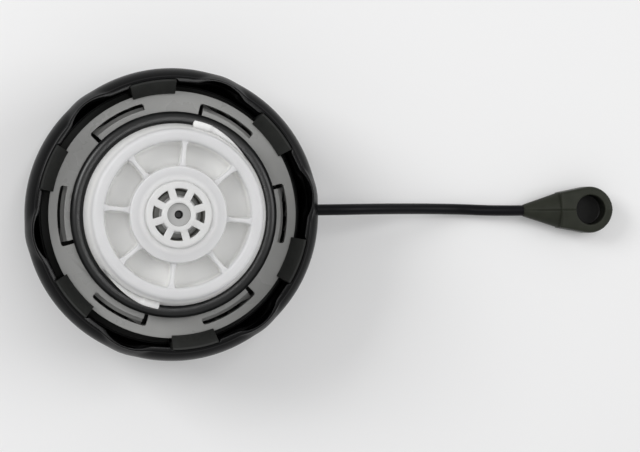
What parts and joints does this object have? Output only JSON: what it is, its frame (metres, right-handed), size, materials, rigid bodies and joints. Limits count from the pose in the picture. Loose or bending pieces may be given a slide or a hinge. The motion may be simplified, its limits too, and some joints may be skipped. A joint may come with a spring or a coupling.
{
  "type": "fuel filler cap",
  "caption": "Quarter-turn fuel filler cap with bayonet plug, ratchet plate, gasket, vent valve, grip and a round tether strap with a push-on end fitting.",
  "frame": {"origin": "centre of the grip's flat top, on which the cap lies", "axes": "+Z along the cap's axis towards the nose that enters the filler neck, +X towards the tether"},
  "size_m": [0.1801, 0.0842, 0.052],
  "materials": {
    "cover_gloss": "glossy black nylon",
    "hook_matt": "matt dark-grey nylon",
    "acetal_natural": "natural acetal, satin",
    "acetal_white": "white acetal, satin",
    "gasket_rubber": "black nitrile rubber",
    "valve_rubber": "black fluorocarbon rubber",
    "bush_grey": "grey acetal",
    "valve_grey": "dark grey acetal",
    "spring_steel": "drawn stainless wire and strip",
    "strap_black": "black nylon",
    "fitting_olive": "olive-black moulded elastomer"
  },
  "bodies": {
    "cover": {"cover_shell": "cover_gloss", "hook_ring": "hook_matt"},
    "plug": {"ratchet_plate": "acetal_natural", "plug_body": "acetal_white", "gasket": "gasket_rubber", "valve_cage": "acetal_white", "guide_bush": "bush_grey", "valve_housing": "acetal_natural", "housing_o_ring": "valve_rubber", "housing_clip": "spring_steel", "spring_seat": "acetal_natural", "pressure_spring": "spring_steel"},
    "pressure_valve": {"pressure_plate": "acetal_natural", "pressure_seal": "valve_rubber", "vacuum_spring": "spring_steel"},
    "vacuum_valve": {"vacuum_valve": "valve_grey", "push_nut": "spring_steel"},
    "tether": {"tether_ring": "strap_black", "tether_strap": "strap_black", "tether_fitting": "fitting_olive"}
  },
  "joints": [
    {"name": "ratchet_turn", "type": "hinge", "parent": "cover", "child": "plug", "pos_m": [0, 0, 0.026], "axis": [0, 0, 1], "continuous": true},
    {"name": "tether_swivel", "type": "hinge", "parent": "cover", "child": "tether", "pos_m": [0, 0, 0.0182], "axis": [0, 0, 1], "continuous": true},
    {"name": "pressure_relief", "type": "slide", "parent": "plug", "child": "pressure_valve", "axis": [0, 0, -1], "range_m": [0, 0.0015], "stiffness_N_per_m": 400, "springref_m": -0.008, "deforming": ["pressure_spring"]},
    {"name": "vacuum_relief", "type": "slide", "parent": "pressure_valve", "child": "vacuum_valve", "axis": [0, 0, 1], "range_m": [0, 0.0012], "stiffness_N_per_m": 60, "springref_m": -0.004, "deforming": ["vacuum_spring"]}
  ]
}
